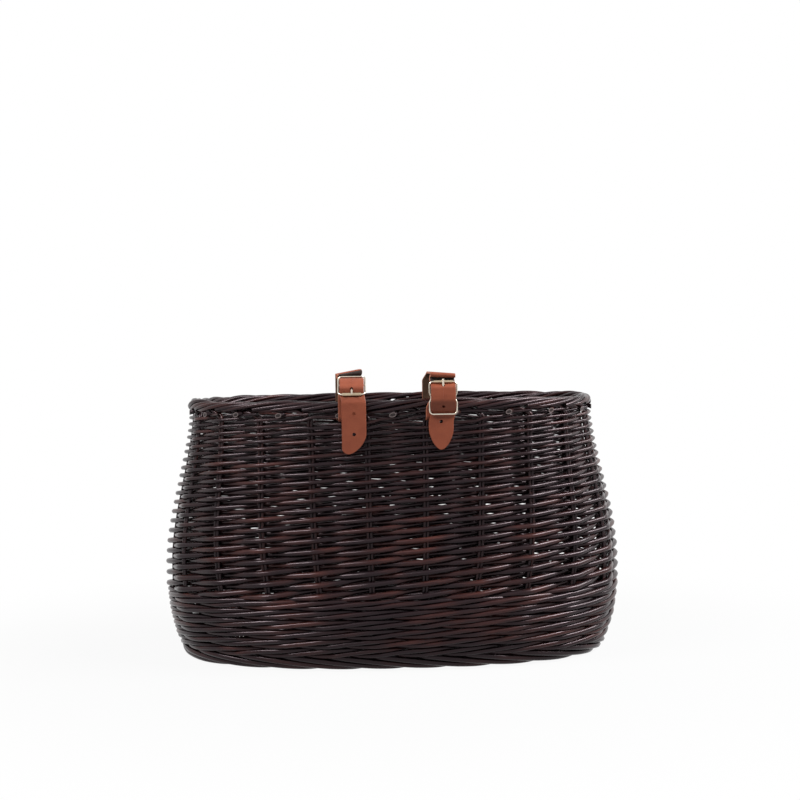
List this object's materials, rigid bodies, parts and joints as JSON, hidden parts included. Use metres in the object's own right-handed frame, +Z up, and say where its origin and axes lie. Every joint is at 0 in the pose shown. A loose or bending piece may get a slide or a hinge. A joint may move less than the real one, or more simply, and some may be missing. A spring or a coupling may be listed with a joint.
{
  "type": "bicycle basket",
  "caption": "Oval woven willow basket with a twisted rim and foot, and buckled leather straps that fasten it to a handlebar.",
  "frame": {"origin": "under the middle of the whole part, on the plane it stands on", "axes": "+X along the long way of the oval, +Y away from the handlebar side, +Z up"},
  "size_m": [0.4124, 0.2478, 0.2595],
  "materials": {
    "willow": "stained and satin lacquered",
    "leather": "smooth, waxed",
    "nickel": "polished nickel plate"
  },
  "bodies": {
    "basket": {"foot_border": "willow", "base_mat": "willow", "stake_01": "willow", "stake_02": "willow", "stake_03": "willow", "stake_04": "willow", "stake_05": "willow", "stake_06": "willow", "stake_07": "willow", "stake_08": "willow", "stake_09": "willow", "stake_10": "willow", "stake_11": "willow", "stake_12": "willow", "stake_13": "willow", "stake_14": "willow", "stake_15": "willow", "stake_16": "willow", "stake_17": "willow", "stake_18": "willow", "stake_19": "willow", "stake_20": "willow", "stake_21": "willow", "stake_22": "willow", "stake_23": "willow", "wale_1": "willow", "wale_2": "willow", "wale_3": "willow", "weaver_01": "willow", "weaver_02": "willow", "weaver_03": "willow", "weaver_04": "willow", "weaver_05": "willow", "weaver_06": "willow", "weaver_07": "willow", "weaver_08": "willow", "weaver_09": "willow", "weaver_10": "willow", "weaver_11": "willow", "weaver_12": "willow", "weaver_13": "willow", "weaver_14": "willow", "weaver_15": "willow", "weaver_16": "willow", "weaver_17": "willow", "weaver_18": "willow", "weaver_19": "willow", "weaver_20": "willow", "weaver_21": "willow", "weaver_22": "willow", "weaver_23": "willow"},
    "left_strap": {"left_strap": "leather", "left_buckle": "nickel"},
    "left_tail": {"left_strap_tail": "leather"},
    "left_prong": {"left_prong": "nickel"},
    "right_strap": {"right_strap": "leather", "right_buckle": "nickel"},
    "right_tail": {"right_strap_tail": "leather"},
    "right_prong": {"right_prong": "nickel"}
  },
  "joints": [
    {"name": "left_strap_slide", "type": "slide", "parent": "basket", "child": "left_strap", "axis": [-1, 0, 0], "range_m": [0, 0.015]},
    {"name": "left_prong_turn", "type": "hinge", "parent": "left_strap", "child": "left_prong", "pos_m": [-0.03675, -0.10713, 0.2462], "axis": [-1, 0, 0], "range_deg": [0, 80]},
    {"name": "left_tail_flex", "type": "hinge", "parent": "left_strap", "child": "left_tail", "pos_m": [-0.03675, -0.12081, 0.23194], "axis": [-1, 0, 0], "range_deg": [0, 75], "stiffness_Nm_per_rad": 0.004},
    {"name": "right_strap_slide", "type": "slide", "parent": "basket", "child": "right_strap", "axis": [1, 0, 0], "range_m": [0, 0.015]},
    {"name": "right_prong_turn", "type": "hinge", "parent": "right_strap", "child": "right_prong", "pos_m": [0.04095, -0.11388, 0.2347], "axis": [1, 0, 0], "range_deg": [0, 80]},
    {"name": "right_tail_flex", "type": "hinge", "parent": "right_strap", "child": "right_tail", "pos_m": [0.04095, -0.11188, 0.2174], "axis": [-1, 0, 0], "range_deg": [0, 75], "stiffness_Nm_per_rad": 0.004}
  ]
}
